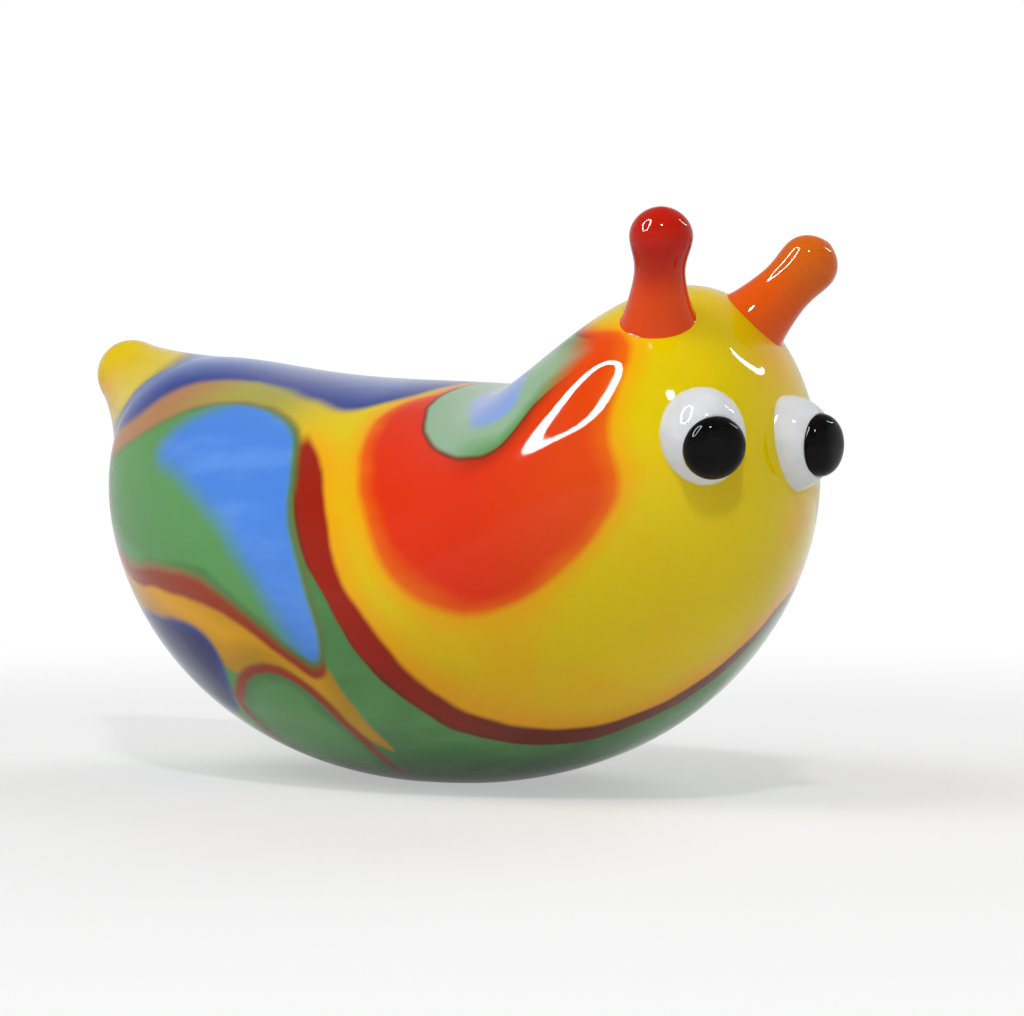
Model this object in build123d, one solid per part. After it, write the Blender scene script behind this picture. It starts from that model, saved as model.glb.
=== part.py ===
"""A lampworked glass slug: one gather of glass with dots of colour melted into it, eyes, tentacles and a tail.

Millimetres. +X is towards the head, +Z is up and the animal's right side is -Y. The origin is on the table,
under the middle of the body's length.
"""
import os
from math import atan2, cos, degrees, pi, radians, sin, sqrt

from build123d import *

# Body: a bean whose sections across its length are ellipses hung on a spine.
body_length = 54.0
end_squareness = 2.3     # 2 rounds the ends like an egg, more makes them blunter
face_drop = 2.8          # the spine's fall from the rump to the face
back_height = 5.1        # the back above the spine
rump_rise = 7.4          # added to the back towards the rump
head_rise = 11.0         # added to the back at the head
neck_start = 0.141       # station where the neck begins to rise; stations run from -1, rump, to 1, face
crown_start = 0.941      # station where the head has its full rise
belly_depth = 19.7       # the belly below the spine at its deepest
belly_taper = 4.9        # depth that the belly loses over half a length
belly_place = -0.222     # station of the deepest belly
half_width = 15.7
width_taper = 2.4        # half-width lost at the two ends
head_turn = 5.0          # how far the face swings to the animal's right
foot_flat = 0.25         # depth of the flat that the belly stands on
skin_depth = 1.2         # how deep the coloured glass lies on the core
section_count = 18       # stations of the loft

# Eyes: white domes sunk into the head, with a black dot on each. A place on the skin is a station and an angle
# round the section, from 0 on the animal's right over 90 on top. Yaw turns left, pitch turns up.
eye_radius = 2.6
eye_sink = 0.5           # the dome's centre below the skin
pupil_radius = 1.7       # the black dot's edge on the white
pupil_proud = 0.4        # the black dot above the white
pupil_sink = 0.5         # the black dot into the white
right_eye_station = 0.942
right_eye_round = 21.5
right_gaze_yaw = -25.7
right_gaze_pitch = -12.8
left_eye_station = 0.977
left_eye_round = 149.3
left_gaze_yaw = 8.0
left_gaze_pitch = -2.0

# Drops: tentacles and tail have a flared foot, a waist and a round end.
drop_waist = 0.55        # place of the waist between the foot and the round end's centre
drop_flare = 0.3         # how fast a drop narrows at its foot

# Tentacles
tentacle_foot = 2.2      # radius where it meets the head
tentacle_waist = 1.55    # radius at its thinnest
tentacle_root = 1.4      # how far its foot starts below the skin
right_tentacle_ball = 1.8
right_tentacle_length = 5.2
right_tentacle_station = 0.798
right_tentacle_round = 56.7
right_lean_yaw = -47.0
right_lean_pitch = 56.0
left_tentacle_ball = 1.65
left_tentacle_length = 4.3
left_tentacle_station = 0.837
left_tentacle_round = 107.7
left_lean_yaw = 42.0
left_lean_pitch = 46.0

# Tail: a yellow bead drawn out of the rump.
tail_ball = 2.3
tail_waist = 2.5
tail_foot = 4.6          # radius where it runs into the rump
tail_length = 5.6        # from its foot to the bead's centre
tail_pitch = 36.0
tail_back = 2.9          # the bead's centre behind the rump's end
tail_up = 4.5            # the bead's centre above the rump's end

# Colour dots. Each is an ellipse seen from the side: its centre's station, its centre's level in that section
# (-1 belly, 1 back), half its length as a share of half the body's, half its height and its nose's rise over
# its centre as shares of half the section's height.
neck_blue_spot = (0.426, 0.804, 0.155, 0.150, 0.106)
neck_green_spot = (0.415, 0.819, 0.307, 0.280, 0.181)
right_flank_spot = (0.504, 0.120, 0.307, 0.468, 0.079)
left_flank_spot = (0.467, 0.067, 0.273, 0.517, -0.025)
face_spot = (0.719, 0.321, 0.644, 1.509, 0.000)
right_rear_blue_spot = (-0.207, 0.249, 0.268, 0.329, -0.334)
right_rear_spot = (-0.356, 0.256, 0.411, 0.523, -0.238)
left_rear_blue_spot = (-0.319, 0.220, 0.264, 0.387, -0.170)
left_rear_spot = (-0.378, 0.230, 0.390, 0.566, -0.154)
back_spot = (-0.430, 1.090, 0.418, 0.291, -0.123)
saddle_spot = (-0.059, 0.724, 0.193, 0.389, 0.000)
right_low_spot = (-0.081, -0.657, 0.162, 0.212, -0.024)
right_cobalt_spot = (-0.467, -0.588, 0.196, 0.193, -0.080)
left_cobalt_spot = (-0.356, -0.644, 0.229, 0.201, -0.046)
chest_line = 1.4         # width of the dark line round the yellow face
rear_line = 1.7          # width of the amber line round the rear dots
low_line = 0.8           # width of the dark line round the low dot

# The dots, the last laid first: each with the line by which it shows round the dot on top of it, and its side.
RIGHT, LEFT, BOTH = "right", "left", "both"
dots = {
    "neck_blue": (neck_blue_spot, 0.0, BOTH),
    "neck_green": (neck_green_spot, 0.0, BOTH),
    "right_flank_red": (right_flank_spot, 0.0, RIGHT),
    "left_flank_red": (left_flank_spot, 0.0, LEFT),
    "face_yellow": (face_spot, 0.0, BOTH),
    "chest_line": (face_spot, chest_line, BOTH),
    "right_rear_blue": (right_rear_blue_spot, 0.0, RIGHT),
    "right_rear_green": (right_rear_spot, 0.0, RIGHT),
    "right_rear_line": (right_rear_spot, rear_line, RIGHT),
    "left_rear_blue": (left_rear_blue_spot, 0.0, LEFT),
    "left_rear_green": (left_rear_spot, 0.0, LEFT),
    "left_rear_line": (left_rear_spot, rear_line, LEFT),
    "back_blue": (back_spot, 0.0, BOTH),
    "saddle_yellow": (saddle_spot, 0.0, BOTH),
    "right_low_green": (right_low_spot, 0.0, RIGHT),
    "right_low_line": (right_low_spot, low_line, RIGHT),
    "right_cobalt": (right_cobalt_spot, 0.0, RIGHT),
    "left_cobalt": (left_cobalt_spot, 0.0, LEFT),
}


def smooth_step(t):
    """Rises from 0 to 1 with level ends."""
    t = min(max(t, 0.0), 1.0)
    return t**3 * (10 - 15 * t + 6 * t * t)


def reach(u, inset):
    """Heights above and below the spine and the half-width at station u."""
    end = (1 - abs(u) ** end_squareness) ** (1 / end_squareness)
    head = smooth_step((u - neck_start) / (crown_start - neck_start))
    above = back_height + rump_rise * max(0.0, -u) ** 3 + head_rise * head
    below = belly_depth - belly_taper * (u - belly_place) ** 2
    wide = half_width - width_taper * u * u
    return (above - inset) * end, (below - inset) * end, (wide - inset) * end


def spine_fall(u):
    return face_drop * (u + 1) / 2


stations = [i / 500 - 1 for i in range(1, 1000)]
belly_reach = max(spine_fall(u) + reach(u, 0.0)[1] for u in stations)
spine_height = belly_reach - foot_flat


def section(u, inset=0.0):
    """Centre, half-width and half-height of the body's section at station u."""
    above, below, wide = reach(u, inset)
    x = (body_length / 2 - inset) * u
    y = -head_turn * max(0.0, u) ** 3
    z = spine_height - spine_fall(u) + (above - below) / 2
    return Vector(x, y, z), wide, (above + below) / 2


def gather(inset=0.0):
    """The solid bean, or the same bean with its skin taken off."""
    rings = [Vertex(*section(-1.0, inset)[0])]
    for i in range(1, section_count):
        centre, wide, tall = section(-cos(pi * i / section_count), inset)
        rings.append(Plane(centre, x_dir=(0, 1, 0), z_dir=(1, 0, 0)) * Ellipse(wide, tall))
    rings.append(Vertex(*section(1.0, inset)[0]))
    return loft(rings)


def on_skin(u, around):
    """The point of the skin at a station and an angle round its section."""
    centre, wide, tall = section(u)
    return centre + Vector(0, -wide * cos(radians(around)), tall * sin(radians(around)))


def skin_normal(u, around):
    step = 1e-4
    along = on_skin(u + step, around) - on_skin(u - step, around)
    across = on_skin(u, around + step) - on_skin(u, around - step)
    return along.cross(across).normalized()


def heading(yaw, pitch):
    flat = cos(radians(pitch))
    return Vector(flat * cos(radians(yaw)), flat * sin(radians(yaw)), sin(radians(pitch)))


def turned(outline):
    """A closed outline of radius and height, turned about its axis."""
    return revolve(Plane.XZ * make_face(outline.edges()), Axis.Z)


def eye(u, around, gaze):
    """A white dome on the head and the black dot let into it, both turned about the gaze."""
    eye_plane = Plane(on_skin(u, around) - skin_normal(u, around) * eye_sink, z_dir=gaze)
    edge = sqrt(eye_radius**2 - pupil_radius**2)
    seat = edge - pupil_sink
    top = eye_radius + pupil_proud
    dot_radius = (pupil_radius**2 + (top - edge) ** 2) / (2 * (top - edge))
    socket = Polyline((pupil_radius, edge), (pupil_radius, seat), (0, seat))
    dome = ThreePointArc((0, -eye_radius), (eye_radius, 0), (pupil_radius, edge))
    white = dome + socket + Line((0, seat), (0, -eye_radius))
    black = RadiusArc((pupil_radius, edge), (0, top), -dot_radius) + Line((0, top), (0, seat)) + socket
    return eye_plane * turned(white) - body, eye_plane * turned(black)


def drop(place, axis, foot, root, waist, round_end, length):
    """A drawn drop of glass: a flared foot that starts below the skin, a waist and a round end."""
    side = Spline((foot, -root), (waist, drop_waist * length), (round_end, length),
                  tangents=((-drop_flare, 1), (0, 1)))
    end = RadiusArc((round_end, length), (0, length + round_end), -round_end)
    outline = side + end + Polyline((0, length + round_end), (0, -root), (foot, -root))
    return Plane(place, z_dir=axis) * turned(outline) - body


def side_cutter(spot, line, side):
    """A bar with a dot's outline, grown by a line, through one side of the body or through both."""
    station, level, half_length, half_height, nose_rise = spot
    centre, _, tall = section(station)
    nose = Vector(half_length * body_length / 2, nose_rise * tall)
    top = Vector(0, half_height * tall)
    turn = atan2(2 * nose.dot(top), nose.dot(nose) - top.dot(top)) / 2
    long_axis = nose * cos(turn) + top * sin(turn)
    short_axis = top * cos(turn) - nose * sin(turn)
    tilt = degrees(atan2(long_axis.Y, long_axis.X))
    ellipse = Ellipse(long_axis.length + line, short_axis.length + line)
    outline = Plane.XZ * Pos(centre.X, centre.Z + level * tall) * Rot(0, 0, tilt) * ellipse
    far = 2 * half_width + head_turn
    if side == BOTH:
        return extrude(outline, far, both=True)
    return extrude(outline, far if side == RIGHT else -far)


bean = gather()
below_table = Pos(0, 0, -body_length / 2) * Box(2 * body_length, 2 * body_length, body_length)
body = bean - below_table
core = gather(skin_depth)
skin = body - core

pieces = {"core": core}
for name, (spot, line, side) in dots.items():
    cutter = side_cutter(spot, line, side)
    pieces[name] = skin & cutter
    skin = skin - cutter
pieces["belly_green"] = skin

right_gaze = heading(right_gaze_yaw, right_gaze_pitch)
left_gaze = heading(left_gaze_yaw, left_gaze_pitch)
pieces["right_eye_white"], pieces["right_pupil"] = eye(right_eye_station, right_eye_round, right_gaze)
pieces["left_eye_white"], pieces["left_pupil"] = eye(left_eye_station, left_eye_round, left_gaze)
pieces["right_tentacle"] = drop(
    on_skin(right_tentacle_station, right_tentacle_round), heading(right_lean_yaw, right_lean_pitch),
    tentacle_foot, tentacle_root, tentacle_waist, right_tentacle_ball, right_tentacle_length)
pieces["left_tentacle"] = drop(
    on_skin(left_tentacle_station, left_tentacle_round), heading(left_lean_yaw, left_lean_pitch),
    tentacle_foot, tentacle_root, tentacle_waist, left_tentacle_ball, left_tentacle_length)

tail_axis = heading(180.0, tail_pitch)
tail_centre = section(-1.0)[0] + Vector(-tail_back, 0, tail_up)
pieces["tail_tip"] = drop(
    tail_centre - tail_axis * tail_length, tail_axis, tail_foot, 0.0, tail_waist, tail_ball, tail_length)

os.makedirs("parts", exist_ok=True)
for name, piece in pieces.items():
    export_step(piece, f"parts/{name}.step")
    print(name, len(piece.solids()), round(piece.volume, 2))
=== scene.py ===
"""The looks of a lampworked glass slug: a bean of glass with melted colour dots, eyes, tentacles and a tail.

Metres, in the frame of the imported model: +X is towards the head, +Z is up and the animal's right side is -Y.
A place on the skin is a station, from -1 at the rump to 1 at the face, and an angle round that section, from
0 on the animal's right over 90 on top to 180 on its left.
"""

from math import cos, pi, radians, sin, sqrt, tau

import bpy
import numpy as np
from bpy.props import FloatProperty, FloatVectorProperty, IntProperty, PointerProperty
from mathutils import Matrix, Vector


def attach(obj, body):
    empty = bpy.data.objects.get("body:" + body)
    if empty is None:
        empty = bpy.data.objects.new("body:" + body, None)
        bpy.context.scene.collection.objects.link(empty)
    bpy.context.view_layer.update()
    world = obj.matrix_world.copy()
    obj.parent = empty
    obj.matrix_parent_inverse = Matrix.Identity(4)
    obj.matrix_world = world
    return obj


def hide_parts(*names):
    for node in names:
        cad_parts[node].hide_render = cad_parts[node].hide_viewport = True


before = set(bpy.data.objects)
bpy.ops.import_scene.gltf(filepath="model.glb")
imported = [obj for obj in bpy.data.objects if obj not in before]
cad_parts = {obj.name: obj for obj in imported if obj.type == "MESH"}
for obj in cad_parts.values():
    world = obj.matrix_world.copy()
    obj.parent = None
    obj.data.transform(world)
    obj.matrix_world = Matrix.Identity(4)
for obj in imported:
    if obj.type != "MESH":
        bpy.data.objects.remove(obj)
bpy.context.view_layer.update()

bl_info = {
    "name": "Glass slug",
    "version": (1, 0, 0),
    "blender": (4, 5, 0),
    "location": "View3D > Sidebar > Glass slug",
    "description": "Builds a lampworked glass slug over its solid model",
    "category": "Add Mesh",
}


def paint(red, green, blue):
    """A colour given in the 0 to 255 steps of a paint chart, as the linear colour that a shader takes."""
    shares = [step / 255 for step in (red, green, blue)]
    return tuple(s / 12.92 if s <= 0.04045 else ((s + 0.055) / 1.055) ** 2.4 for s in shares) + (1.0,)


def length(name, default, description):
    return FloatProperty(name=name, default=default, description=description, unit="LENGTH", precision=5)


def share(name, default, description):
    return FloatProperty(name=name, default=default, description=description, precision=3)


def angle(name, default, description):
    return FloatProperty(name=name, default=radians(default), description=description, subtype="ANGLE")


def power(name, default, description):
    return FloatProperty(name=name, default=default, description=description, unit="POWER")


def point(name, default, description):
    return FloatVectorProperty(name=name, default=default, description=description, subtype="XYZ",
                               unit="LENGTH", precision=5)


def colour(name, default, description):
    return FloatVectorProperty(name=name, default=paint(*default), description=description, subtype="COLOR",
                               size=4, min=0.0, max=1.0)


class BodySizes(bpy.types.PropertyGroup):
    """The bean of glass, as the solid model has it."""
    body_length: length("Body length", 0.054, "From the rump to the face, without the tail")
    end_squareness: share("End squareness", 2.3, "2 rounds the ends like an egg, more makes them blunter")
    face_drop: length("Face drop", 0.0028, "The spine's fall from the rump to the face")
    back_height: length("Back height", 0.0051, "The back above the spine")
    rump_rise: length("Rump rise", 0.0074, "Added to the back towards the rump")
    head_rise: length("Head rise", 0.011, "Added to the back at the head")
    neck_start: share("Neck start", 0.141, "Station where the neck begins to rise")
    crown_start: share("Crown start", 0.941, "Station where the head has its full rise")
    belly_depth: length("Belly depth", 0.0197, "The belly below the spine at its deepest")
    belly_taper: length("Belly taper", 0.0049, "Depth that the belly loses over half a length")
    belly_place: share("Belly place", -0.222, "Station of the deepest belly")
    half_width: length("Half width", 0.0157, "Half the width at the middle")
    width_taper: length("Width taper", 0.0024, "Half-width lost at the two ends")
    head_turn: length("Head turn", 0.005, "How far the face swings to the animal's right")
    foot_flat: length("Foot flat", 0.00025, "Depth of the flat that the belly stands on")
    stations: IntProperty(name="Stations", default=260, description="Rings of the skin along the body")
    spokes: IntProperty(name="Spokes", default=340, description="Points of each ring of the skin")


class HeadSizes(bpy.types.PropertyGroup):
    """The eyes and tentacles on the head."""
    eye_radius: length("Eye radius", 0.0027, "Radius of the white domes")
    eye_sink: length("Eye sink", 0.0005, "The dome's centre below the skin")
    eye_narrow: share("Eye narrow", 0.87, "Width of the white domes for their height")
    pupil_radius: length("Pupil radius", 0.00175, "The black dot's edge on the white")
    pupil_proud: length("Pupil proud", 0.0004, "The black dot above the white")
    right_eye_station: share("Right eye station", 0.9495, "Place of the right eye along the body")
    right_eye_round: angle("Right eye round", 24.0, "Place of the right eye round the section")
    right_gaze_yaw: angle("Right gaze yaw", -32.0, "Turn of the right eye to the animal's left")
    right_gaze_pitch: angle("Right gaze pitch", -17.0, "Turn of the right eye upwards")
    left_eye_station: share("Left eye station", 0.981, "Place of the left eye along the body")
    left_eye_round: angle("Left eye round", 145.0, "Place of the left eye round the section")
    left_gaze_yaw: angle("Left gaze yaw", 8.0, "Turn of the left eye to the animal's left")
    left_gaze_pitch: angle("Left gaze pitch", -2.0, "Turn of the left eye upwards")
    tentacle_foot: length("Tentacle foot", 0.0021, "Radius where a tentacle meets the head")
    waist_place: share("Waist place", 0.68, "Where a tentacle is thinnest between the skin and its round end")
    right_waist: length("Right waist", 0.0013, "Radius of the right tentacle at its thinnest")
    right_ball: length("Right ball", 0.00184, "Radius of the right tentacle's round end")
    right_length: length("Right length", 0.0044, "From the skin to the right round end's centre")
    right_station: share("Right station", 0.782, "Place of the right tentacle along the body")
    right_round: angle("Right round", 60.0, "Place of the right tentacle round the section")
    right_lean_yaw: angle("Right lean yaw", -47.0, "Heading of the right tentacle")
    right_lean_pitch: angle("Right lean pitch", 63.0, "Rise of the right tentacle")
    left_waist: length("Left waist", 0.0015, "Radius of the left tentacle at its thinnest")
    left_ball: length("Left ball", 0.00176, "Radius of the left tentacle's round end")
    left_length: length("Left length", 0.0040, "From the skin to the left round end's centre")
    left_station: share("Left station", 0.832, "Place of the left tentacle along the body")
    left_round: angle("Left round", 109.0, "Place of the left tentacle round the section")
    left_lean_yaw: angle("Left lean yaw", 42.0, "Heading of the left tentacle")
    left_lean_pitch: angle("Left lean pitch", 46.0, "Rise of the left tentacle")


class TailSizes(bpy.types.PropertyGroup):
    """The bead at the tail and the flare on which it stands."""
    tail_ball: length("Tail ball", 0.0024, "Radius of the tail's round end")
    tail_waist: length("Tail waist", 0.0026, "Radius of the tail at its waist")
    tail_waist_place: share("Tail waist place", 0.90, "The waist's place between the foot and the bead")
    tail_spread: share("Tail spread", 0.14, "How much the flare stands out under the waist")
    tail_foot: length("Tail foot", 0.0068, "Radius where the tail runs into the rump")
    tail_length: length("Tail length", 0.0056, "From the tail's foot to the bead's centre")
    tail_pitch: angle("Tail pitch", 32.0, "Rise of the tail")
    yellow_below: length("Yellow below", 0.0021, "How far the tail's yellow reaches below the bead's centre")
    yellow_round: length("Yellow round", 0.0085, "How far the tail's yellow reaches round the bead's centre")
    yellow_yaw: angle("Yellow yaw", -138.8, "Way that the edge of the tail's yellow faces")
    yellow_pitch: angle("Yellow pitch", 44.0, "Rise of the way that the edge of the tail's yellow faces")
    tail_back: length("Tail back", 0.0031, "The bead's centre behind the rump's end")
    tail_up: length("Tail up", 0.0047, "The bead's centre above the rump's end")


class GlassColours(bpy.types.PropertyGroup):
    """The rods of coloured glass."""
    yellow: colour("Yellow", (222, 196, 0), "Face, saddle and tail")
    warm_yellow: colour("Warm yellow", (236, 168, 0), "Yellow where it thins out beside a red dot")
    olive: colour("Olive", (168, 162, 62), "Yellow where it thins out over the back")
    red: colour("Red", (222, 46, 0), "Middle of the flank dots")
    orange_red: colour("Orange red", (224, 70, 0), "Flank dots towards the face")
    orange: colour("Orange", (232, 100, 0), "Rims of the flank dots")
    # painted shade: the flank red darkened beside the neck dot, as if the raised dot shaded it
    painted_shade_red: colour("Deep red", (158, 36, 4), "Flank dots beside the neck dot")
    dark_red: colour("Dark red", (156, 26, 0), "Line round the face")
    brown_red: colour("Brown red", (112, 36, 12), "The same line under the face")
    # brown red also paints the thin shadow line round the neck dot
    amber: colour("Amber", (178, 126, 82), "Strip above the rear dots, and the neck dot's end")
    dark_olive: colour("Dark olive", (112, 104, 40), "Edge of the rear dots and the tail")
    ochre: colour("Ochre", (190, 140, 0), "Band under the rear dots")
    rust: colour("Rust", (154, 54, 18), "Band next to the rear dots")
    green: colour("Green", (92, 150, 86), "Belly and rear dots")
    dim_green: colour("Dim green", (76, 128, 74), "Green where it is thin")
    pale_green: colour("Pale green", (146, 180, 146), "Neck dot")
    blue: colour("Blue", (74, 132, 222), "Middle of the rear dots")
    sky_blue: colour("Sky blue", (92, 148, 230), "Streaks in the rear dots")
    pale_blue: colour("Pale blue", (132, 162, 222), "Neck and back")
    dark_blue: colour("Dark blue", (34, 56, 138), "Rim of the back dot")
    cobalt: colour("Cobalt", (24, 32, 102), "Low rear dots")
    white: colour("White", (217, 219, 222), "Eyes")
    shade_white: colour("Shade white", (208, 211, 215), "Eyes where the white is thin")
    black: colour("Black", (5, 5, 6), "Pupils")
    soft_black: colour("Soft black", (14, 12, 12), "Pupils where the black is thin")
    tentacle_red: colour("Tentacle red", (186, 24, 0), "Round end of the right tentacle")
    tentacle_warm: colour("Tentacle warm", (222, 70, 0), "Foot of the right tentacle")
    tentacle_orange: colour("Tentacle orange", (220, 84, 0), "Left tentacle")
    tentacle_amber: colour("Tentacle amber", (210, 96, 6), "Round end of the left tentacle")


class StageSettings(bpy.types.PropertyGroup):
    """Camera, floor and lamps."""
    azimuth: angle("Azimuth", 41.24, "The camera's turn round the slug from its right side to its face")
    elevation: angle("Elevation", 0.735, "The camera above the horizon")
    distance: length("Distance", 0.186, "From the camera to the point it looks at")
    target: point("Target", (0.00403, 0.0, 0.01659), "The point that the camera looks at")
    lens: FloatProperty(name="Lens", default=108.35, description="Focal length, in millimetres")
    lit_point: point("Lit point", (0.018, -0.009, 0.021), "The point that the lamps face")
    paper: colour("Paper", (222, 222, 222), "Floor and backdrop")
    paper_glow: share("Paper glow", 0.45, "How much of the floor under the slug shows as plain white")
    paper_mirrored: share("Paper mirrored", 0.45, "How much of that white the polished glass shows")
    room_light: share("Room light", 0.3, "Brightness of the room")
    ring_light: share("Ring light", 60.0, "Brightness of the ring lamp")
    arc_light: share("Arc light", 34.0, "Brightness of the arc lamp")
    key_power: power("Key power", 1.5, "Soft panel at the left")
    rear_power: power("Rear power", 1.0, "Soft panel at the far side")
    brow_power: power("Brow power", 0.55, "Lamp over the slug's brow")


def smooth_step(t):
    """Rises from 0 to 1 with level ends."""
    t = np.clip(t, 0.0, 1.0)
    return t**3 * (10 - 15 * t + 6 * t * t)


def reach(sizes, u):
    """Heights above and below the spine and the half-width at stations u."""
    end = (1 - np.abs(u) ** sizes.end_squareness) ** (1 / sizes.end_squareness)
    head = smooth_step((u - sizes.neck_start) / (sizes.crown_start - sizes.neck_start))
    above = sizes.back_height + sizes.rump_rise * np.maximum(0.0, -u) ** 3 + sizes.head_rise * head
    below = sizes.belly_depth - sizes.belly_taper * (u - sizes.belly_place) ** 2
    wide = sizes.half_width - sizes.width_taper * u * u
    return above * end, below * end, wide * end


def spine_fall(sizes, u):
    return sizes.face_drop * (u + 1) / 2


def spine_height(sizes):
    u = np.linspace(-0.998, 0.998, 999)
    return np.max(spine_fall(sizes, u) + reach(sizes, u)[1]) - sizes.foot_flat


def section(sizes, u):
    """The sections at stations u: sideways place and height of the middle, half-width and half-height."""
    above, below, wide = reach(sizes, u)
    middle = spine_height(sizes) - spine_fall(sizes, u) + (above - below) / 2
    return -sizes.head_turn * np.maximum(0.0, u) ** 3, middle, wide, (above + below) / 2


def skin(sizes, u, around):
    """Points of the skin at stations u and angles around, one row each."""
    u, around = np.broadcast_arrays(np.asarray(u, float), np.asarray(around, float))
    aside, middle, wide, tall = section(sizes, u)
    x = sizes.body_length / 2 * u
    y = aside - wide * np.cos(around)
    z = middle + tall * np.sin(around)
    return np.stack([x, y, np.maximum(z, 0.0)], axis=-1)


def skin_normal(sizes, u, around):
    step = 1e-5
    along = skin(sizes, u + step, around) - skin(sizes, u - step, around)
    across = skin(sizes, u, around + step) - skin(sizes, u, around - step)
    return Vector(np.cross(along, across)).normalized()


def depth(sizes, points):
    """How far points lie inside the bean, as a share of the section: 0 on the skin, negative outside."""
    x, y, z = np.moveaxis(points, -1, 0)
    aside, middle, wide, tall = section(sizes, np.clip(x / (sizes.body_length / 2), -0.9999, 0.9999))
    inside = 1 - np.hypot((y - aside) / wide, (z - middle) / tall)
    return np.where(np.abs(x) < sizes.body_length / 2, inside, -1.0)


def heading(yaw, pitch):
    return Vector((cos(pitch) * cos(yaw), cos(pitch) * sin(yaw), sin(pitch)))


def across_axis(axis):
    """Two directions square to an axis: one level, one upwards."""
    side = axis.cross(Vector((0.0, 0.0, 1.0))).normalized()
    return side, side.cross(axis)


def mesh_piece(name, points, faces, material):
    """A smooth mesh in the scene, in the frame's own coordinates."""
    mesh = bpy.data.meshes.new(name)
    mesh.from_pydata([tuple(p) for p in points], [], faces)
    mesh.validate()
    mesh.shade_smooth()
    mesh.materials.append(material)
    piece = bpy.data.objects.new(name, mesh)
    bpy.context.scene.collection.objects.link(piece)
    return piece


def keep_value(piece, name, values):
    """Stores one number for each point of a piece, for its material to read."""
    layer = piece.data.attributes.new(name, "FLOAT", "POINT")
    layer.data.foreach_set("value", np.asarray(values, np.float32))


def tube_faces(rings, spokes):
    """Quads between rings of points that follow one another."""
    faces = []
    for low in range(0, (rings - 1) * spokes, spokes):
        for s in range(spokes):
            after = (s + 1) % spokes
            faces.append((low + s, low + after, low + spokes + after, low + spokes + s))
    return faces


def fan_faces(tip, first, spokes, flip):
    """Triangles from a tip to a ring that starts at point first."""
    fans = [(tip, first + (s + 1) % spokes, first + s) for s in range(spokes)]
    return [fan[::-1] for fan in fans] if flip else fans


# Outlines of the colour dots on the skin, as stations and degrees round the section.
RIGHT_REAR = [(-0.90, 4), (-0.76, 21), (-0.65, 35), (-0.53, 50), (-0.38, 56), (-0.24, 53), (-0.13, 46),
              (-0.05, 33), (0.0, 20), (0.07, 4), (0.11, -12), (0.07, -21), (-0.06, -11), (-0.25, 0),
              (-0.45, -2), (-0.66, -10), (-0.88, -8)]
RIGHT_REAR_BLUE = [(-0.55, 34), (-0.49, 47), (-0.32, 60), (-0.08, 56), (0.04, 36), (0.10, 10),
                   (0.16, -14), (0.07, -24), (-0.01, -9), (-0.10, 5), (-0.25, 18), (-0.42, 26),
                   (-0.53, 28)]
RIGHT_RUST = [(-0.87, 2), (-0.45, 8), (-0.06, -2), (0.08, -14), (0.10, -22), (0.05, -25), (-0.03, -18),
              (-0.14, -11), (-0.25, -7), (-0.45, -9), (-0.66, -17), (-0.86, -18)]
RIGHT_OCHRE = [(-0.87, -8), (-0.45, 0), (-0.06, -8), (0.08, -18), (0.12, -32), (0.12, -52),
               (0.05, -36), (-0.08, -22), (-0.20, -26), (-0.32, -22), (-0.50, -22), (-0.70, -26),
               (-0.86, -24)]
RIGHT_COBALT = [(-0.62, -26), (-0.44, -17), (-0.32, -15), (-0.25, -19), (-0.25, -29), (-0.32, -44),
                (-0.48, -52), (-0.62, -42)]
RIGHT_LOW = [(-0.25, -40), (-0.17, -28), (-0.08, -24), (0.0, -28), (0.045, -38), (0.05, -54),
             (0.0, -70), (-0.12, -76), (-0.22, -60)]
RIGHT_FLANK = [(0.10, 42), (0.06, 57), (0.12, 69), (0.30, 68), (0.54, 58), (0.66, 51), (0.75, 48),
               (0.79, 38), (0.79, 16), (0.82, -2), (0.76, -16), (0.62, -23), (0.47, -18), (0.33, -2),
               (0.21, 20)]
NECK = [(0.14, 66), (0.20, 54), (0.29, 42), (0.44, 27), (0.54, 22), (0.60, 29), (0.66, 34),
        (0.705, 39), (0.71, 44), (0.65, 49), (0.58, 58), (0.53, 78), (0.47, 98), (0.36, 110),
        (0.20, 104), (0.12, 86)]
NECK_BLUE = [(0.24, 64), (0.32, 50), (0.44, 34), (0.53, 31), (0.56, 37), (0.51, 52), (0.40, 76),
             (0.27, 82)]
BACK = [(-1.03, 20), (-0.84, 26), (-0.74, 37), (-0.69, 49), (-0.62, 61), (-0.50, 67), (-0.38, 67),
        (-0.22, 62), (-0.06, 57), (0.03, 63), (0.08, 74), (0.06, 100), (-0.05, 118), (-0.30, 114),
        (-0.60, 118), (-0.79, 132), (-1.03, 150)]
SADDLE = [(0.12, 50), (0.03, 43), (-0.06, 46), (-0.13, 41), (-0.20, 40), (-0.45, 40), (-0.66, 22),
          (-0.84, 8), (-1.04, 0), (-1.04, 180), (-0.86, 168), (-0.60, 146), (-0.20, 140), (0.0, 142),
          (0.12, 128), (0.16, 90)]

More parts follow.
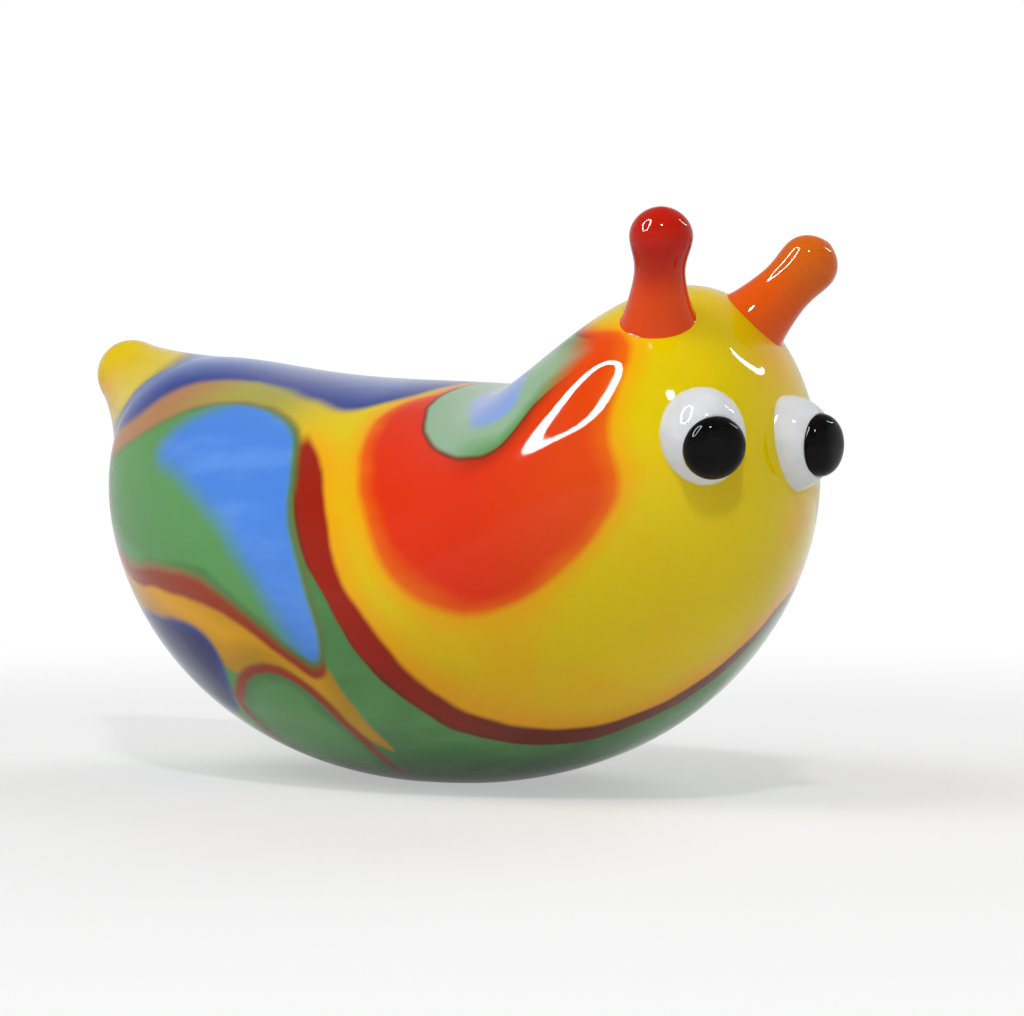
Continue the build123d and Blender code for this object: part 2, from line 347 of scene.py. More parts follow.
# Where the yellow of the face and the dark line behind it begin, as degrees round the section and stations.
FACE_EDGE = [(-100, 0.82), (-89, 0.74), (-80, 0.65), (-70, 0.54), (-56, 0.44), (-43, 0.37),
             (-30, 0.32), (-18, 0.28), (-2, 0.20), (6, 0.16), (19, 0.11), (33, 0.04), (40, -0.02),
             (46, -0.10), (90, -0.14), (133, -0.04), (150, 0.20), (165, 0.40), (185, 0.58),
             (205, 0.76), (225, 0.86), (242, 0.875)]
LINE_EDGE = [(-107, 0.81), (-94, 0.71), (-84, 0.61), (-76, 0.50), (-62, 0.40), (-49, 0.32),
             (-38, 0.28), (-26, 0.23), (-17, 0.19), (-9, 0.16), (-1, 0.13), (9, 0.06), (21, 0.0),
             (33, -0.05), (44, -0.11), (90, -0.16), (135, -0.10), (150, 0.14), (165, 0.35),
             (185, 0.54), (205, 0.73), (225, 0.835), (240, 0.85)]
SKIN_RADIUS = 0.0135     # radius at which an angle round the section is turned into a length
THIN_RIM = 0.0003        # rim of green that the blue in the rear dots leaves free
EDGE_CUT = 4.0           # how much sharper the blue ends at that rim than in the middle of the dot
EDGE_ROUNDING = 13       # degrees over which the edges round the face are evened out
EDGE_WANDER = 0.0006     # how far the melted edges of the dots wander
RIM_STREAK = 0.0016      # how far the dots' middles streak into their rims


def on_left(outline, forward=0.0, turn=0.0):
    """The like of a right-hand outline on the left side, moved along and turned a little."""
    return [(u + forward, 180 - around + turn) for u, around in outline]


def unrolled(sizes, outline):
    """An outline's stations and degrees as lengths along and round the skin."""
    flat = np.array(outline, float)
    return np.stack([flat[:, 0] * sizes.body_length / 2, np.radians(flat[:, 1]) * SKIN_RADIUS], axis=-1)


def closed_curve(points, steps=14):
    """A smooth closed curve through points."""
    before, after, later = np.roll(points, 1, 0), np.roll(points, -1, 0), np.roll(points, -2, 0)
    curve = []
    for t in np.arange(steps) / steps:
        curve.append(0.5 * (2 * points + (after - before) * t
                            + (2 * before - 5 * points + 4 * after - later) * t**2
                            + (3 * points - before - 3 * after + later) * t**3))
    return np.stack(curve, axis=1).reshape(-1, 2)


def dot_depth(sizes, places, *outlines):
    """How far places on the unrolled skin lie inside the nearest of some dots: a length, negative outside."""
    deepest = np.full(len(places), -1.0)
    for outline in outlines:
        curve = closed_curve(unrolled(sizes, outline))
        nearest = np.full(len(places), 1.0)
        inside = np.zeros(len(places), bool)
        for start, end in zip(curve, np.roll(curve, -1, 0)):
            run = end - start
            offset = places - start
            t = np.clip(offset @ run / (run @ run), 0.0, 1.0)
            gap = offset - t[:, None] * run
            nearest = np.minimum(nearest, np.hypot(gap[:, 0], gap[:, 1]))
            spans = (start[1] > places[:, 1]) != (end[1] > places[:, 1])
            rise = run[1] if run[1] else 1.0
            inside ^= spans & (offset[:, 0] < run[0] * offset[:, 1] / rise)
        deepest = np.maximum(deepest, np.where(inside, nearest, -nearest))
    return deepest


def edge_depth(sizes, u, around, edge):
    """How far places lie in front of an edge that goes right round the body: a length, negative behind it."""
    turns, stations = np.array(edge, float).T
    laps = np.concatenate([np.radians(turns) - tau, np.radians(turns), np.radians(turns) + tau])
    curve = np.tile(stations, 3)
    fine = np.linspace(-tau, tau, 721)
    kernel = np.hanning(EDGE_ROUNDING)
    smooth = np.convolve(np.interp(fine, laps, curve), kernel / kernel.sum(), mode="same")
    here = np.interp(around, fine, smooth)
    slope = np.interp(around, fine, np.gradient(smooth, fine)) * sizes.body_length / 2 / SKIN_RADIUS
    return (u - here) * sizes.body_length / 2 / np.sqrt(1 + slope**2)


def skin_place(sizes, points):
    """The stations and angles of points on or over the skin."""
    x, y, z = points.T
    u = np.clip(x / (sizes.body_length / 2), -0.999, 0.999)
    aside, middle, wide, tall = section(sizes, u)
    around = np.arctan2((z - middle) / tall, (aside - y) / wide)
    return u, np.where(around < -pi / 2, around + tau, around)


def lay_dots(piece, sizes, tail, u, around):
    """Stores on a piece's points how deep each lies in each dot."""
    places = np.stack([u * sizes.body_length / 2, around * SKIN_RADIUS], axis=-1)
    dots = {
        "saddle": (SADDLE,),
        "ochre": (RIGHT_OCHRE, on_left(RIGHT_OCHRE, forward=-0.02, turn=4)),
        "rust": (RIGHT_RUST, on_left(RIGHT_RUST, forward=-0.02, turn=4)),
        "rear": (RIGHT_REAR, on_left(RIGHT_REAR, forward=-0.02, turn=4)),
        "rear_blue": (RIGHT_REAR_BLUE, on_left(RIGHT_REAR_BLUE, forward=-0.04)),
        "cobalt": (RIGHT_COBALT, on_left(RIGHT_COBALT, forward=0.10, turn=6)),
        "low": (RIGHT_LOW,),
        "flank": (RIGHT_FLANK, on_left(RIGHT_FLANK, forward=-0.04, turn=6)),
        "neck": (NECK,),
        "neck_blue": (NECK_BLUE,),
        "back": (BACK,),
    }
    depths = {name: dot_depth(sizes, places, *outlines) for name, outlines in dots.items()}
    depths["rear_blue"] = np.minimum(depths["rear_blue"], EDGE_CUT * (depths["rear"] - THIN_RIM))
    for name, values in depths.items():
        keep_value(piece, name, values)
    keep_value(piece, "face_edge", edge_depth(sizes, u, around, FACE_EDGE))
    keep_value(piece, "line_edge", edge_depth(sizes, u, around, LINE_EDGE))
    keep_value(piece, "station", u)
    points = np.array([point.co for point in piece.data.vertices])
    keep_value(piece, "tail", tail_depth(sizes, tail, points))


def put(tree, kind, inputs, **settings):
    """A shader node with its settings, and its inputs linked or set."""
    node = tree.nodes.new(kind)
    for name, value in settings.items():
        setattr(node, name, value)
    for name, value in inputs.items():
        if isinstance(value, bpy.types.NodeSocket):
            tree.links.new(value, node.inputs[name])
        else:
            node.inputs[name].default_value = value
    return node


def value_of(tree, name):
    """A number stored on the piece's points."""
    return put(tree, "ShaderNodeAttribute", {}, attribute_name=name).outputs["Fac"]


def cloud(tree, scale, detail=2.0, stretch=(1.0, 1.0, 1.0)):
    """Soft random variation through the glass, from 0 to 1."""
    place = put(tree, "ShaderNodeTexCoord", {}).outputs["Object"]
    drawn = put(tree, "ShaderNodeMapping", {"Vector": place, "Scale": stretch}).outputs["Vector"]
    return put(tree, "ShaderNodeTexNoise", {"Vector": drawn, "Scale": scale, "Detail": detail}).outputs["Fac"]


def ramp(tree, value, low, high, start=0.0, end=1.0):
    """A soft step of a number between two limits."""
    limits = {"From Min": low, "From Max": high, "To Min": start, "To Max": end}
    node = put(tree, "ShaderNodeMapRange", {"Value": value, **limits}, interpolation_type="SMOOTHSTEP")
    return node.outputs["Result"]


def sway(tree, value, noise, amount):
    """A number moved to and fro by a cloud, so that melted edges wander."""
    shift = put(tree, "ShaderNodeMath", {0: noise, 1: 0.5}, operation="SUBTRACT").outputs[0]
    return put(tree, "ShaderNodeMath", {0: shift, 1: amount, 2: value}, operation="MULTIPLY_ADD").outputs[0]


def blend(tree, factor, first, second):
    """Two colours mixed."""
    node = put(tree, "ShaderNodeMix", {0: factor, 6: first, 7: second}, data_type="RGBA")
    return node.outputs[2]


def glass(name, make_colour, roughness=(0.02, 0.06), wave=0.00005, ior=1.3):
    """A polished glass whose colour comes from a function, with the faint waves of a flame finish."""
    material = bpy.data.materials.new(name)
    material.use_nodes = True
    tree = material.node_tree
    tree.nodes.clear()
    height = cloud(tree, scale=160.0, detail=1.0)
    waves = put(tree, "ShaderNodeBump", {"Height": height, "Strength": 1.0, "Distance": wave})
    polish = ramp(tree, cloud(tree, scale=700.0), 0.3, 0.7, *roughness)
    shader = put(tree, "ShaderNodeBsdfPrincipled", {
        "Base Color": make_colour(tree), "Roughness": polish, "IOR": ior, "Normal": waves.outputs["Normal"]})
    put(tree, "ShaderNodeOutputMaterial", {"Surface": shader.outputs["BSDF"]})
    return material


def drifting(tree, first, second):
    """A colour that drifts slowly towards another."""
    return blend(tree, ramp(tree, cloud(tree, scale=110.0, detail=3.0), 0.4, 0.85), first, second)


def body_colour(tree, colours):
    """The dots in the order in which they were laid on the body, each melted into those under it."""
    wander = cloud(tree, scale=260.0)
    streak = cloud(tree, scale=330.0, detail=3.0, stretch=(0.35, 1.0, 1.0))
    station = value_of(tree, "station")
    yellow = drifting(tree, colours.yellow, colours.warm_yellow)
    strip = blend(tree, ramp(tree, station, -0.66, -0.42), colours.amber, colours.olive)
    saddle = blend(tree, ramp(tree, station, -0.34, -0.06), strip, yellow)
    line = blend(tree, ramp(tree, station, 0.2, 0.45), colours.dark_red, colours.brown_red)
    rear_edge = blend(tree, ramp(tree, station, -0.5, -0.1), colours.amber, colours.dark_olive)
    neck_end = ramp(tree, station, 0.58, 0.70)
    neck_side = ramp(tree, station, 0.36, 0.52)
    # painted shade round the neck dot: the flank red turns to a darker red beside the dot, and to orange red
    # at its end
    red_into_painted_shade = blend(tree, neck_side, colours.red, colours.painted_shade_red)
    neck_painted_shade = blend(tree, neck_end, red_into_painted_shade, colours.orange_red)
    # painted shadow: a thin dark line round the neck dot's raised edge, orange red at the dot's end
    neck_painted_shadow_line = blend(tree, neck_end, colours.brown_red, colours.orange_red)
    side_green = blend(tree, neck_side, colours.pale_green, colours.green)
    neck_rim = blend(tree, neck_end, side_green, colours.orange_red)
    neck = blend(tree, neck_end, colours.pale_green, colours.amber)
    flank = blend(tree, ramp(tree, station, 0.45, 0.8), colours.red, colours.orange_red)
    blue = blend(tree, ramp(tree, streak, 0.45, 0.7), colours.blue, colours.sky_blue)
    layers = (
        # value on the skin, how much the dot is grown, colours at its rim and in its middle,
        # width of the rim, softness of the dot's edge
        ("line_edge", 0.0, colours.brown_red, line, 0.0005, 0.00016),
        ("face_edge", 0.0, colours.warm_yellow, yellow, 0.0022, 0.00026),
        ("saddle", 0.0, saddle, saddle, 0.0012, 0.0010),
        ("ochre", 0.0, colours.ochre, colours.warm_yellow, 0.0030, 0.00025),
        ("rust", 0.0, colours.rust, colours.rust, 0.0014, 0.00025),
        ("rear", 0.0002, rear_edge, rear_edge, 0.001, 0.0004),
        ("rear", 0.0, colours.dim_green, colours.green, 0.0006, 0.0005),
        ("rear_blue", 0.0, blue, blue, 0.0014, 0.0012),
        ("cobalt", 0.0, colours.dark_blue, colours.cobalt, 0.0012, 0.0004),
        ("low", 0.0007, colours.rust, colours.rust, 0.001, 0.00025),
        ("low", 0.0, colours.dim_green, colours.green, 0.0012, 0.0002),
        ("flank", 0.0008, colours.warm_yellow, colours.warm_yellow, 0.001, 0.0008),
        ("flank", 0.0, colours.orange, flank, 0.0014, 0.00034),
        # painted shade: a soft dark red halo round the neck dot
        ("neck", 0.0006, neck_painted_shade, neck_painted_shade, 0.001, 0.0009),
        # painted shadow: the thin dark line round the neck dot's raised edge
        ("neck", 0.0002, neck_painted_shadow_line, neck_painted_shadow_line, 0.001, 0.00014),
        ("neck", 0.0, neck_rim, neck, 0.0014, 0.00016),
        ("neck_blue", 0.0, colours.pale_green, colours.pale_blue, 0.0009, 0.0005),
        ("back", 0.0, colours.dark_blue, colours.pale_blue, 0.0090, 0.0006),
        ("tail", 0.0004, colours.dark_olive, colours.dark_olive, 0.001, 0.0007),
        ("tail", 0.0, yellow, yellow, 0.001, 0.0006),
    )
    mixed = blend(tree, ramp(tree, streak, 0.3, 0.75), colours.green, colours.dim_green)
    for name, growth, rim, middle, rim_width, softness in layers:
        depth_here = sway(tree, value_of(tree, name), wander, EDGE_WANDER)
        streaked = sway(tree, depth_here, streak, RIM_STREAK)
        fill = blend(tree, ramp(tree, streaked, 0.0, rim_width), rim, middle)
        cover = ramp(tree, depth_here, -growth - softness, -growth + softness)
        mixed = blend(tree, cover, mixed, fill)
    return mixed


def along_colour(tree, foot, tip):
    """A drop of glass that changes from its foot to its round end."""
    rise = sway(tree, value_of(tree, "rise"), cloud(tree, scale=420.0), 0.35)
    return blend(tree, ramp(tree, rise, 0.1, 0.75), foot, tip)


def speckled_colour(tree, middle, thin):
    """A glass that is thinner in small spots."""
    return blend(tree, ramp(tree, cloud(tree, scale=900.0, detail=3.0), 0.35, 0.75), middle, thin)


def settle(piece, slot, *nodes):
    """Ties a piece to the model: its body and the solids that it stands for."""
    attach(piece, "root")
    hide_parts(*nodes)


class SLUG_OT_body(bpy.types.Operator):
    """Make the glass body with its melted colour dots"""
    bl_idname = "slug.body"
    bl_label = "Glass body"

    nodes = ("core", "neck_blue", "neck_green", "right_flank_red", "left_flank_red", "face_yellow",
             "chest_line", "right_rear_blue", "right_rear_green", "right_rear_line", "left_rear_blue",
             "left_rear_green", "left_rear_line", "back_blue", "saddle_yellow", "right_low_green",
             "right_low_line", "right_cobalt", "left_cobalt", "belly_green")

    def execute(self, context):
        sizes, colours = context.scene.slug_body, context.scene.slug_glass
        rings, spokes = sizes.stations - 1, sizes.spokes
        u = np.repeat(-np.cos(pi * np.arange(1, sizes.stations) / sizes.stations), spokes)
        around = np.tile(-pi / 2 + tau * np.arange(spokes) / spokes, rings)
        u = np.concatenate([u, [-1.0, 1.0]])
        around = np.concatenate([around, [0.0, 0.0]])
        faces = tube_faces(rings, spokes)
        faces += fan_faces(rings * spokes, 0, spokes, False)
        faces += fan_faces(rings * spokes + 1, (rings - 1) * spokes, spokes, True)
        material = glass("melted_glass", lambda tree: body_colour(tree, colours))
        body = mesh_piece("glass_body", skin(sizes, u, around), faces, material)
        lay_dots(body, sizes, context.scene.slug_tail, u, around)
        settle(body, "yellow_glass", *self.nodes)
        return {"FINISHED"}


def eye_frame(sizes, head, side):
    """The centre of an eye's dome and its gaze."""
    u, around = getattr(head, f"{side}_eye_station"), getattr(head, f"{side}_eye_round")
    centre = Vector(skin(sizes, u, around)) - skin_normal(sizes, u, around) * head.eye_sink
    return centre, heading(getattr(head, f"{side}_gaze_yaw"), getattr(head, f"{side}_gaze_pitch"))


def turned_piece(name, outline, centre, axis, material, narrow=1.0, spokes=96):
    """An outline of radius and height, closed at both ends, turned about an axis and narrowed."""
    side, other = across_axis(axis)
    points = []
    for radius, height in outline[1:-1]:
        for s in range(spokes):
            turn = tau * s / spokes
            outward = side * cos(turn) * narrow + other * sin(turn)
            points.append(centre + axis * height + outward * radius)
    rings = len(outline) - 2
    points += [centre + axis * outline[0][1], centre + axis * outline[-1][1]]
    faces = tube_faces(rings, spokes)
    faces += fan_faces(rings * spokes, 0, spokes, False)
    faces += fan_faces(rings * spokes + 1, (rings - 1) * spokes, spokes, True)
    return mesh_piece(name, points, faces, material)


class SLUG_OT_eyes(bpy.types.Operator):
    """Make the white domes and their black dots"""
    bl_idname = "slug.eyes"
    bl_label = "Eyes"

    dent_floor = 0.9                            # the dent's floor in the white, for the black dot's radius
    shoulder_side, shoulder_top = 0.72, 0.92    # below 1, the black dot's shoulder is squarer than a ball's

    def execute(self, context):
        sizes, head, colours = context.scene.slug_body, context.scene.slug_head, context.scene.slug_glass
        white = glass("white_glass", lambda tree: speckled_colour(tree, colours.white, colours.shade_white))
        black = glass("black_glass", lambda tree: speckled_colour(tree, colours.black, colours.soft_black),
                      ior=1.2)
        for side in ("right", "left"):
            centre, gaze = eye_frame(sizes, head, side)
            dome = turned_piece(f"{side}_eye_dome", self.dome(head), centre, gaze, white, head.eye_narrow)
            settle(dome, "white_glass", f"{side}_eye_white")
            dot = turned_piece(f"{side}_eye_dot", self.dot(head), centre, gaze, black)
            settle(dot, "black_glass", f"{side}_pupil")
        return {"FINISHED"}

    def dome(self, head):
        """The white, from its back to the bottom of the dent under the black dot."""
        edge = sqrt(head.eye_radius**2 - head.pupil_radius**2)
        last = np.arccos(-edge / head.eye_radius)
        turns = np.linspace(0.0, last, 40)
        outline = [(head.eye_radius * sin(t), -head.eye_radius * cos(t)) for t in turns]
        floor = head.pupil_radius * self.dent_floor
        return outline + [(floor, edge - head.pupil_proud / 2), (0.0, edge - head.pupil_proud)]

    def dot(self, head):
        """The black dot, a button with a round shoulder that swells from the white."""
        edge = sqrt(head.eye_radius**2 - head.pupil_radius**2) - head.pupil_proud / 4
        rise = head.eye_radius + head.pupil_proud - edge
        turns = np.linspace(0.0, pi / 2, 24)
        shoulder = []
        for t in turns[:-1]:
            radius = head.pupil_radius * cos(t) ** self.shoulder_side
            shoulder.append((radius, edge + rise * sin(t) ** self.shoulder_top))
        return [(0.0, edge - head.pupil_proud)] + shoulder + [(0.0, edge + rise)]


SKIRT_REACH = 1.06       # the hidden skirt round a drop's foot, for the foot's radius
SKIRT_SINK = 0.00002     # how far that skirt's edge lies under the skin
FOOT_BEND = 0.25         # share of a drop's flare that still follows the skin, and then the waist
EASING = 10              # how often the rings of a drop are evened out with their neighbours


def foot_ring(sizes, foot, axis, radius, outward, halvings=50):
    """A ring of points on the skin round an axis, found by moving along the axis."""
    rise = np.array(axis)
    flat = np.array(foot) + radius * outward
    low, high = np.full(len(flat), -sizes.half_width), np.full(len(flat), sizes.half_width / 2)
    for _ in range(halvings):
        middle = (low + high) / 2
        inside = depth(sizes, flat + middle[:, None] * rise) > 0
        low = np.where(inside, middle, low)
        high = np.where(inside, high, middle)
    return flat + low[:, None] * rise


def drop_piece(name, sizes, foot, axis, shape, material, spread=0.0, spokes=96):
    """A drawn drop of glass: its foot runs out into the skin, then a waist and a round end."""
    foot_radius, waist, waist_height, ball, height = shape
    flare = foot_radius - waist
    base, rise = np.array(foot), np.array(axis)
    side, other = across_axis(axis)
    turns = tau * np.arange(spokes)[:, None] / spokes
    outward = np.cos(turns) * np.array(side) + np.sin(turns) * np.array(other)
    skirt = foot_ring(sizes, foot, axis, SKIRT_REACH * foot_radius, outward) - SKIRT_SINK * rise
    ring = foot_ring(sizes, foot, axis, foot_radius, outward)
    inner = foot_ring(sizes, foot, axis, foot_radius - FOOT_BEND * flare, outward)
    neck = base + waist_height * rise + waist * outward
    drop = FOOT_BEND * ((neck - ring) @ rise)[:, None] * rise
    lower = neck - drop + spread * flare * outward
    rings = [skirt]
    for t in np.linspace(0.0, 1.0, 14):
        by_skin = (1 - t) * ring + 3 * t * inner
        by_neck = 3 * (1 - t) * lower + t * neck
        rings.append((1 - t) ** 2 * by_skin + t**2 * by_neck)
    for t in np.linspace(0.0, 1.0, 5)[1:]:
        radius = waist + (ball - waist) * t * t * (3 - 2 * t)
        rings.append(base + (waist_height + (height - waist_height) * t) * rise + radius * outward)
    for t in np.linspace(0.0, pi / 2, 16)[1:-1]:
        rings.append(base + (height + ball * sin(t)) * rise + ball * cos(t) * outward)
    rings = np.array(rings)
    for _ in range(EASING):
        rings[2:-1] = (rings[1:-2] + 2 * rings[2:-1] + rings[3:]) / 4
    points = np.concatenate([*rings, [base + (height + ball) * rise]])
    faces = tube_faces(len(rings), spokes)
    faces += fan_faces(len(points) - 1, (len(rings) - 1) * spokes, spokes, True)
    faces.append(tuple(reversed(range(spokes))))
    piece = mesh_piece(name, points, faces, material)
    keep_value(piece, "rise", ((points - base) @ rise) / (height + ball))
    return piece


class SLUG_OT_tentacles(bpy.types.Operator):
    """Make the two drops of red and orange glass on the head"""
    bl_idname = "slug.tentacles"
    bl_label = "Tentacles"

    def execute(self, context):
        sizes, head, colours = context.scene.slug_body, context.scene.slug_head, context.scene.slug_glass
        looks = {"right": (colours.tentacle_warm, colours.tentacle_red),
                 "left": (colours.tentacle_orange, colours.tentacle_amber)}
        for side, (foot_colour, tip_colour) in looks.items():
            foot = Vector(skin(sizes, getattr(head, f"{side}_station"), getattr(head, f"{side}_round")))
            axis = heading(getattr(head, f"{side}_lean_yaw"), getattr(head, f"{side}_lean_pitch"))
            height = getattr(head, f"{side}_length")
            shape = (head.tentacle_foot, getattr(head, f"{side}_waist"), head.waist_place * height,
                     getattr(head, f"{side}_ball"), height)
            material = glass(f"{side}_tentacle_glass", self.colour_of(foot_colour, tip_colour))
            drop = drop_piece(f"{side}_tentacle_drop", sizes, foot, axis, shape, material)
            settle(drop, "tentacle_glass", f"{side}_tentacle")
        return {"FINISHED"}

    def colour_of(self, foot_colour, tip_colour):
        return lambda tree: along_colour(tree, foot_colour, tip_colour)


def tail_frame(sizes, tail):
    """The foot of the tail and its axis."""
    axis = heading(pi, tail.tail_pitch)
    bead = Vector(skin(sizes, -1.0, 0.0)) + Vector((-tail.tail_back, 0.0, tail.tail_up))
    return bead - axis * tail.tail_length, axis


def tail_depth(sizes, tail, points):
    """How far points lie inside the slanting edge of the tail's yellow: a length, negative outside."""
    foot, axis = tail_frame(sizes, tail)
    offset = points - np.array(foot + axis * tail.tail_length)
    beyond = offset @ np.array(heading(tail.yellow_yaw, tail.yellow_pitch)) + tail.yellow_below
    return np.minimum(beyond, tail.yellow_round - np.linalg.norm(offset, axis=1))


class SLUG_OT_tail(bpy.types.Operator):
    """Make the yellow bead at the tail"""
    bl_idname = "slug.tail"
    bl_label = "Tail"

    def execute(self, context):
        sizes, tail = context.scene.slug_body, context.scene.slug_tail
        foot, axis = tail_frame(sizes, tail)
        shape = (tail.tail_foot, tail.tail_waist, tail.tail_waist_place * tail.tail_length, tail.tail_ball,
                 tail.tail_length)
        material = bpy.data.materials["melted_glass"]
        bead = drop_piece("tail_bead", sizes, foot, axis, shape, material, tail.tail_spread)
        points = np.array([point.co for point in bead.data.vertices])
        lay_dots(bead, sizes, tail, *skin_place(sizes, points))
        settle(bead, "yellow_glass", "tail_tip")
        return {"FINISHED"}


class SLUG_OT_stage(bpy.types.Operator):
    """Make the floor, backdrop, lamps and camera"""
    bl_idname = "slug.stage"
    bl_label = "Stage"

    shadow_reach = 0.045, 0.15     # distances from the slug over which the paper turns to plain white
    fade_heights = 0.18, 0.6       # heights over which that white fades again

    def execute(self, context):
        scene, stage = context.scene, context.scene.slug_stage
        scene.view_settings.view_transform = "Standard"
        self.back = heading(stage.azimuth - pi / 2, stage.elevation)
        self.right = Vector((cos(stage.azimuth), sin(stage.azimuth), 0.0))
        self.up = self.back.cross(self.right)
        self.target = Vector(stage.target)
        self.lit_point = Vector(stage.lit_point)
        self.camera(scene, stage)
        self.sweep(stage)
        self.room(scene, stage)
        self.loop_lamp("ring_lamp", seen=(-0.691, 0.675, 0.258), long_way=(0.50, 0.71, -0.49),
                       size=(0.118, 0.082), band=(0.016, 0.028), sweep=(-pi, pi), corner=0.75,
                       light=stage.ring_light)
        self.loop_lamp("arc_lamp", seen=(0.685, 0.60, -0.36), long_way=(-0.055, 0.14, 0.13),
                       size=(0.068, 0.034), band=(0.010, 0.012), sweep=(-pi / 2, pi / 2), corner=1.0,
                       light=stage.arc_light)
        self.panel("key_lamp", seen=(-0.60, 0.75, 0.28), distance=0.5, size=0.3, power=stage.key_power)
        self.panel("rear_lamp", seen=(0.50, 0.60, -0.60), distance=0.5, size=0.3, power=stage.rear_power)
        self.panel("brow_lamp", seen=(0.02, 0.75, 0.66), distance=0.4, size=0.035, power=stage.brow_power,
                   mirrored=True)
        return {"FINISHED"}

    def towards(self, seen):
        """A direction given as the camera sees it: right, up and back towards the camera."""
        return (self.right * seen[0] + self.up * seen[1] + self.back * seen[2]).normalized()

    def camera(self, scene, stage):
        lens = bpy.data.cameras.new("camera")
        lens.lens = stage.lens
        lens.sensor_fit = "HORIZONTAL"
        lens.clip_start = 0.005
        camera = bpy.data.objects.new("camera", lens)
        camera.location = self.target + self.back * stage.distance
        camera.rotation_euler = self.back.to_track_quat("Z", "Y").to_euler()
        scene.collection.objects.link(camera)
        scene.camera = camera

    def pale_paper(self, stage):
        """Matt paper that shows as plain white round the slug and keeps its shadow under it."""
        material = bpy.data.materials.new("pale_paper")
        material.use_nodes = True
        tree = material.node_tree
        tree.nodes.clear()

        def reckon(operation, first, second):
            return put(tree, "ShaderNodeMath", {0: first, 1: second}, operation=operation).outputs[0]

        matt = put(tree, "ShaderNodeBsdfDiffuse", {"Color": stage.paper})
        white = put(tree, "ShaderNodeEmission", {"Strength": 1.0})
        ray = put(tree, "ShaderNodeLightPath", {}).outputs
        mirrored = reckon("MULTIPLY", ray["Is Glossy Ray"], stage.paper_mirrored)
        seen = reckon("MAXIMUM", ray["Is Camera Ray"], mirrored)
        seen = reckon("MAXIMUM", seen, ray["Is Transmission Ray"])
        place = put(tree, "ShaderNodeTexCoord", {}).outputs["Object"]
        away = put(tree, "ShaderNodeVectorMath", {0: place}, operation="LENGTH").outputs["Value"]
        height = put(tree, "ShaderNodeSeparateXYZ", {"Vector": place}).outputs["Z"]
        glow = ramp(tree, away, *self.shadow_reach, stage.paper_glow, 1.0)
        glow = reckon("MULTIPLY", glow, ramp(tree, height, *self.fade_heights, 1.0, 0.0))
        share_lit = reckon("MULTIPLY", seen, glow)
        mixed = put(tree, "ShaderNodeMixShader", {0: share_lit, 1: matt.outputs[0], 2: white.outputs[0]})
        put(tree, "ShaderNodeOutputMaterial", {"Surface": mixed.outputs[0]})
        return material

    def sweep(self, stage, flat=0.55, bend=0.15, rim=0.60, spokes=128):
        """A round sheet of pale paper that turns up all round, far from the slug."""
        profile = [(flat / 4, 0.0), (flat / 2, 0.0), (flat, 0.0)]
        for turn in np.linspace(0.0, pi / 2, 13)[1:]:
            profile.append((flat + bend * sin(turn), bend * (1 - cos(turn))))
        profile.append((flat + bend, rim))
        points = [Vector((0.0, 0.0, 0.0))]
        for radius, height in profile:
            for turn in tau * np.arange(spokes) / spokes:
                points.append(Vector((radius * cos(turn), radius * sin(turn), height)))
        faces = fan_faces(0, 1, spokes, True)
        faces += [tuple(1 + corner for corner in face[::-1]) for face in tube_faces(len(profile), spokes)]
        mesh_piece("paper_sweep", points, faces, self.pale_paper(stage))

    def room(self, scene, stage):
        world = bpy.data.worlds.new("room")
        world.use_nodes = True
        background = world.node_tree.nodes["Background"]
        background.inputs["Color"].default_value = (1.0, 1.0, 1.0, 1.0)
        background.inputs["Strength"].default_value = stage.room_light
        scene.world = world

    def loop_lamp(self, name, seen, long_way, size, band, sweep, corner, light, distance=0.34, spokes=96):
        """A bent flat lamp, all or part of a loop, which the polished glass shows as a bright line.

        seen and long_way give its place and its long axis as the camera sees them. size holds its half-length
        and half-width, band its own breadth along and across, and corner below 1 makes the loop squarer.
        """
        material = bpy.data.materials.new(name)
        material.use_nodes = True
        tree = material.node_tree
        tree.nodes.clear()
        lit = put(tree, "ShaderNodeEmission", {"Strength": light})
        put(tree, "ShaderNodeOutputMaterial", {"Surface": lit.outputs[0]})
        axis = self.towards(seen)
        level = axis.cross(self.towards(long_way)).normalized()
        steep = level.cross(axis)
        centre = self.lit_point + axis * distance
        points = []
        for cut in (0.0, 1.0):
            tall, wide = size[0] - cut * band[0], size[1] - cut * band[1]
            for turn in np.linspace(*sweep, spokes):
                aside = np.sign(cos(turn)) * abs(cos(turn)) ** corner
                along = np.sign(sin(turn)) * abs(sin(turn)) ** corner
                points.append(centre + level * aside * wide + steep * along * tall)
        faces = [(s, s + 1, spokes + s + 1, spokes + s) for s in range(spokes - 1)]
        lamp = mesh_piece(name, points, faces, material)
        lamp.visible_camera = False
        lamp.visible_diffuse = False

    def panel(self, name, seen, distance, size, power, mirrored=False):
        """A square lamp that faces the slug, with or without its mirror image in the glass."""
        lamp = bpy.data.lights.new(name, "AREA")
        lamp.size = size
        lamp.energy = power
        panel = bpy.data.objects.new(name, lamp)
        axis = self.towards(seen)
        panel.location = self.lit_point + axis * distance
        panel.rotation_euler = axis.to_track_quat("Z", "Y").to_euler()
        panel.visible_glossy = mirrored
        bpy.context.scene.collection.objects.link(panel)


class SLUG_PT_panel(bpy.types.Panel):
    """Lists the slug's pieces"""
    bl_label = "Glass slug"
    bl_idname = "SLUG_PT_panel"
    bl_space_type = "VIEW_3D"
    bl_region_type = "UI"
    bl_category = "Glass slug"

    def draw(self, context):
        for operator in OPERATORS:
            self.layout.operator(operator.bl_idname)


GROUPS = {"slug_body": BodySizes, "slug_head": HeadSizes, "slug_tail": TailSizes, "slug_glass": GlassColours,
          "slug_stage": StageSettings}
OPERATORS = (SLUG_OT_body, SLUG_OT_eyes, SLUG_OT_tentacles, SLUG_OT_tail, SLUG_OT_stage)


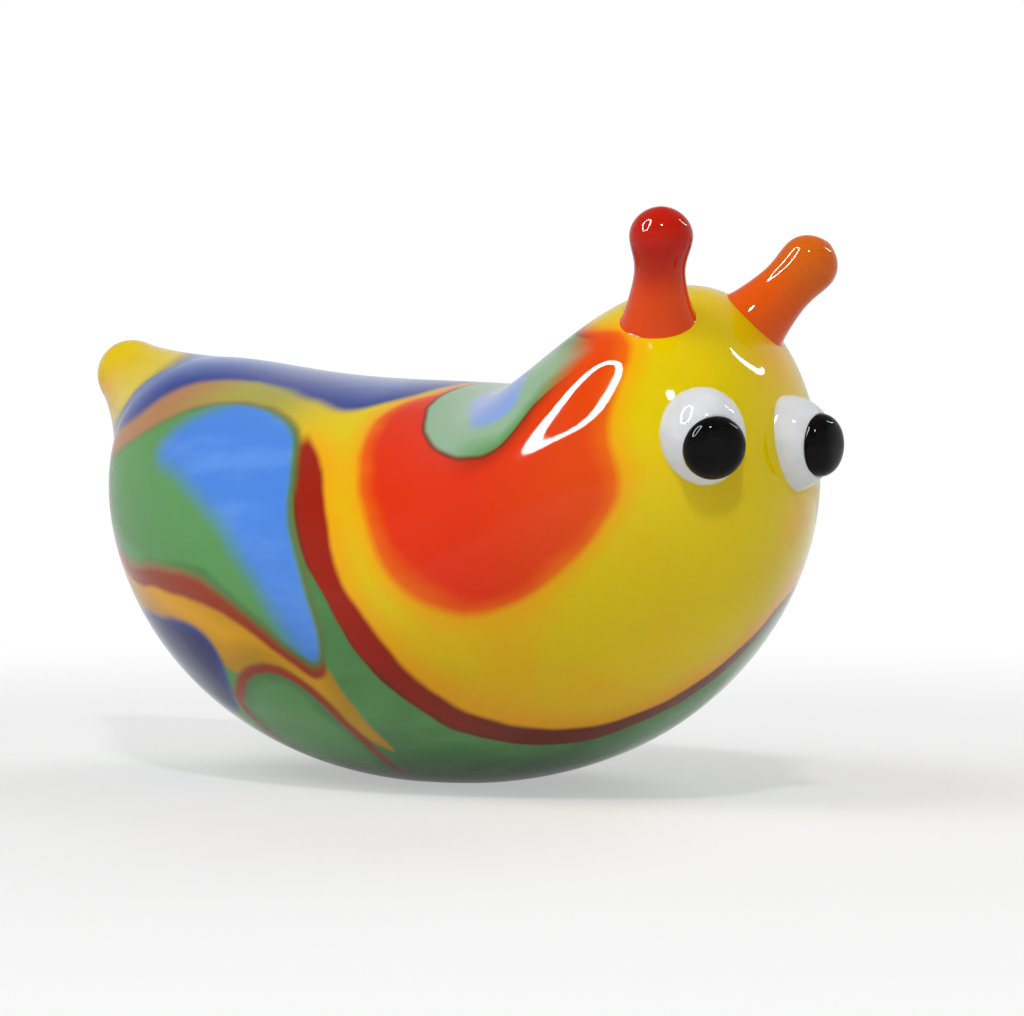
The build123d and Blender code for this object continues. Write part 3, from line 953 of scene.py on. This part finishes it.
def register():
    for name, group in GROUPS.items():
        bpy.utils.register_class(group)
        setattr(bpy.types.Scene, name, PointerProperty(type=group))
    for kind in (*OPERATORS, SLUG_PT_panel):
        bpy.utils.register_class(kind)


def unregister():
    for kind in (SLUG_PT_panel, *reversed(OPERATORS)):
        bpy.utils.unregister_class(kind)
    for name, group in reversed(GROUPS.items()):
        delattr(bpy.types.Scene, name)
        bpy.utils.unregister_class(group)


def main():
    register()
    bpy.ops.slug.body()
    bpy.ops.slug.eyes()
    bpy.ops.slug.tentacles()
    bpy.ops.slug.tail()
    bpy.ops.slug.stage()


if __name__ == "__main__":
    main()
